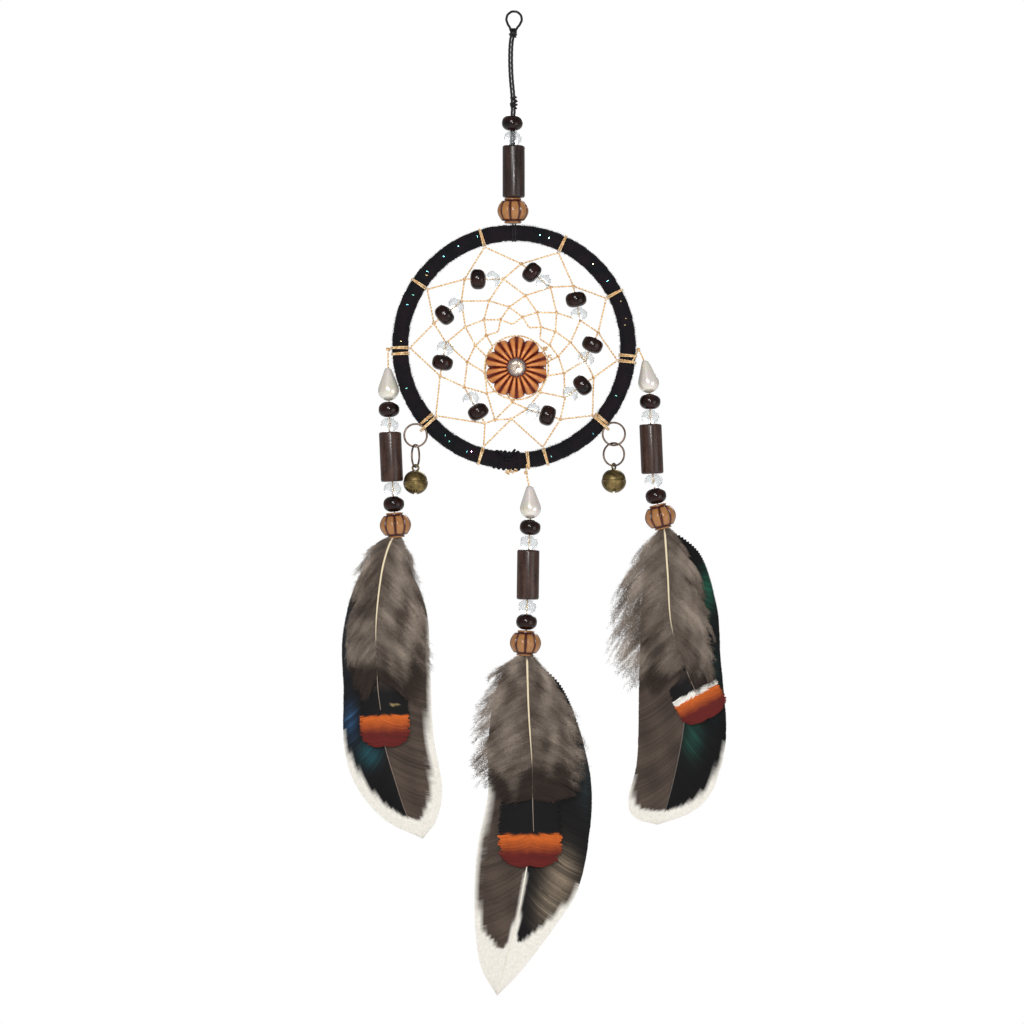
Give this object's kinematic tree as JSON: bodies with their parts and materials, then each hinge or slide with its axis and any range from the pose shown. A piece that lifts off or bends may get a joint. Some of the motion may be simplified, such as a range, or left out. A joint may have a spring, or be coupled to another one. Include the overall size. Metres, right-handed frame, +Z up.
{
  "type": "dream catcher",
  "caption": "Small hanging ornament: a wrapped hoop with a beaded thread web, beaded strands ending in feathers, and jingle bells on rings.",
  "frame": {"origin": "top inside of the hanging loop, where a hook carries it", "axes": "+Z up along the hanging cord, front of the hoop towards -Y, +X to the right as seen from the front"},
  "size_m": [0.1103, 0.01, 0.283],
  "materials": {
    "black_cord": "black waxed cotton cord",
    "black_velour": "fuzzy black velour ribbon with a few foil glints",
    "gold_thread": "twisted metallic-gold thread",
    "hoop_core": "plain plastic ring",
    "dark_wood": "glossy dark brown beads",
    "tube_wood": "polished dark wood tubes",
    "clear_glass": "faceted clear beads",
    "pearl": "pearlised teardrops",
    "carved_tan": "fluted tan beads with dark grooves",
    "flower_tan": "tan flower with dark red-brown grooves",
    "rhinestone": "faceted clear stone",
    "antique_brass": "antique brass, darkened",
    "dark_bronze": "dark bronze wire",
    "feather_large": "dark iridescent and grey-brown vane, white tip",
    "feather_small": "grey-brown down with a dark band and a rust tip"
  },
  "bodies": {
    "hanger": {"hanging_cord": "black_cord", "upper_knot": "black_cord", "stopper_knot": "black_cord", "top_round_bead": "dark_wood", "top_clear_bead": "clear_glass", "top_lantern_bead": "carved_tan"},
    "top_tube": {"top_tube_bead": "tube_wood"},
    "hitch": {"hoop_hitch": "black_cord"},
    "hoop": {"hoop_core": "hoop_core", "hoop_wrap": "black_velour", "wrap_end_tie": "black_velour", "anchor_wraps": "gold_thread", "web_thread": "gold_thread", "web_round_beads": "dark_wood", "web_clear_beads": "clear_glass", "flower": "flower_tan", "stone_setting": "antique_brass", "centre_stone": "rhinestone", "flower_ties": "gold_thread", "bell_ties": "gold_thread"},
    "left_knot": {"left_knot": "gold_thread"},
    "left_strand": {"left_thread": "gold_thread", "left_pearl_bead": "pearl", "left_round_beads": "dark_wood", "left_clear_beads": "clear_glass"},
    "left_tube": {"left_tube_bead": "tube_wood"},
    "left_feathers": {"left_lantern_bead": "carved_tan", "left_large_feather": "feather_large", "left_small_feather": "feather_small"},
    "centre_knot": {"centre_knot": "gold_thread"},
    "centre_strand": {"centre_thread": "gold_thread", "centre_pearl_bead": "pearl", "centre_round_beads": "dark_wood", "centre_clear_beads": "clear_glass"},
    "centre_tube": {"centre_tube_bead": "tube_wood"},
    "centre_feathers": {"centre_lantern_bead": "carved_tan", "centre_large_feather": "feather_large", "centre_small_feather": "feather_small"},
    "right_knot": {"right_knot": "gold_thread"},
    "right_strand": {"right_thread": "gold_thread", "right_pearl_bead": "pearl", "right_round_beads": "dark_wood", "right_clear_beads": "clear_glass"},
    "right_tube": {"right_tube_bead": "tube_wood"},
    "right_feathers": {"right_lantern_bead": "carved_tan", "right_large_feather": "feather_large", "right_small_feather": "feather_small"},
    "left_ring": {"left_bell_ring": "dark_bronze"},
    "left_link": {"left_bell_link": "dark_bronze"},
    "left_bell": {"left_bell_shank": "antique_brass", "left_bell_top": "antique_brass", "left_bell_bottom": "antique_brass"},
    "left_pellet": {"left_bell_pellet": "antique_brass"},
    "right_ring": {"right_bell_ring": "dark_bronze"},
    "right_link": {"right_bell_link": "dark_bronze"},
    "right_bell": {"right_bell_shank": "antique_brass", "right_bell_top": "antique_brass", "right_bell_bottom": "antique_brass"},
    "right_pellet": {"right_bell_pellet": "antique_brass"}
  },
  "joints": [
    {"name": "top_tube_spin", "type": "hinge", "parent": "hanger", "child": "top_tube", "pos_m": [-0.00012, 0, -0.0457], "axis": [0, 0, 1], "continuous": true},
    {"name": "hoop_twist", "type": "hinge", "parent": "hanger", "child": "hitch", "pos_m": [0, 0, -0.0632], "axis": [0, 0, 1], "range_deg": [-180, 180]},
    {"name": "hoop_tilt", "type": "hinge", "parent": "hitch", "child": "hoop", "pos_m": [0, 0, -0.0632], "axis": [1, 0, 0], "range_deg": [-25, 25]},
    {"name": "left_sway", "type": "hinge", "parent": "hoop", "child": "left_knot", "pos_m": [-0.0362, 0, -0.0967], "axis": [1, 0, 0], "range_deg": [-30, 30]},
    {"name": "left_swing", "type": "hinge", "parent": "left_knot", "child": "left_strand", "pos_m": [-0.0362, 0, -0.0967], "axis": [0, 1, 0], "range_deg": [0, 35]},
    {"name": "left_tube_spin", "type": "hinge", "parent": "left_strand", "child": "left_tube", "pos_m": [-0.036, 0, -0.1113], "axis": [-0.0425, 0, 0.9991], "continuous": true},
    {"name": "left_feather_twist", "type": "hinge", "parent": "left_strand", "child": "left_feathers", "pos_m": [-0.035, 0, -0.1348], "axis": [-0.0761, 0, 0.9971], "range_deg": [-90, 90]},
    {"name": "centre_sway", "type": "hinge", "parent": "hoop", "child": "centre_knot", "pos_m": [0.0034, 0, -0.1321], "axis": [1, 0, 0], "range_deg": [-30, 30]},
    {"name": "centre_swing", "type": "hinge", "parent": "centre_knot", "child": "centre_strand", "pos_m": [0.0034, 0, -0.1321], "axis": [0, -1, 0], "range_deg": [-5, 5]},
    {"name": "centre_tube_spin", "type": "hinge", "parent": "centre_strand", "child": "centre_tube", "pos_m": [0.0041, 0, -0.1539], "axis": [0.0137, 0, 0.9999], "continuous": true},
    {"name": "centre_feather_twist", "type": "hinge", "parent": "centre_strand", "child": "centre_feathers", "pos_m": [0.0039, 0, -0.1685], "axis": [0.0508, 0, 0.9987], "range_deg": [-90, 90]},
    {"name": "right_sway", "type": "hinge", "parent": "hoop", "child": "right_knot", "pos_m": [0.0357, 0, -0.0968], "axis": [1, 0, 0], "range_deg": [-30, 30]},
    {"name": "right_swing", "type": "hinge", "parent": "right_knot", "child": "right_strand", "pos_m": [0.0357, 0, -0.0968], "axis": [0, -1, 0], "range_deg": [-3, 35]},
    {"name": "right_tube_spin", "type": "hinge", "parent": "right_strand", "child": "right_tube", "pos_m": [0.0391, 0, -0.1176], "axis": [-0.0416, 0, 0.9991], "continuous": true},
    {"name": "right_feather_twist", "type": "hinge", "parent": "right_strand", "child": "right_feathers", "pos_m": [0.0411, 0, -0.1408], "axis": [-0.2298, 0, 0.9732], "range_deg": [-90, 90]},
    {"name": "left_ring_swing", "type": "hinge", "parent": "hoop", "child": "left_ring", "pos_m": [-0.02582, -0.00195, -0.11915], "axis": [0.6691, 0, -0.7431], "range_deg": [-12, 35]},
    {"name": "left_link_swing", "type": "hinge", "parent": "left_ring", "child": "left_link", "pos_m": [-0.02824, -0.00195, -0.12425], "axis": [1, 0, 0], "range_deg": [-25, 25]},
    {"name": "left_bell_swing", "type": "hinge", "parent": "left_link", "child": "left_bell", "pos_m": [-0.02824, -0.00195, -0.13043], "axis": [0.309, 0.9511, 0], "range_deg": [-25, 5]},
    {"name": "left_pellet_slide", "type": "slide", "parent": "left_bell", "child": "left_pellet", "axis": [0, 0, 1], "range_m": [0, 0.003]},
    {"name": "right_ring_swing", "type": "hinge", "parent": "hoop", "child": "right_ring", "pos_m": [0.02615, -0.00195, -0.11879], "axis": [0.6587, 0, 0.7524], "range_deg": [-35, 12]},
    {"name": "right_link_swing", "type": "hinge", "parent": "right_ring", "child": "right_link", "pos_m": [0.02859, -0.00172, -0.12386], "axis": [0.9903, 0.1392, 0], "range_deg": [-25, 25]},
    {"name": "right_bell_swing", "type": "hinge", "parent": "right_link", "child": "right_bell", "pos_m": [0.02859, -0.00172, -0.13003], "axis": [0.8988, -0.4384, 0], "range_deg": [-25, 25]},
    {"name": "right_pellet_slide", "type": "slide", "parent": "right_bell", "child": "right_pellet", "axis": [0, 0, 1], "range_m": [0, 0.003]}
  ]
}
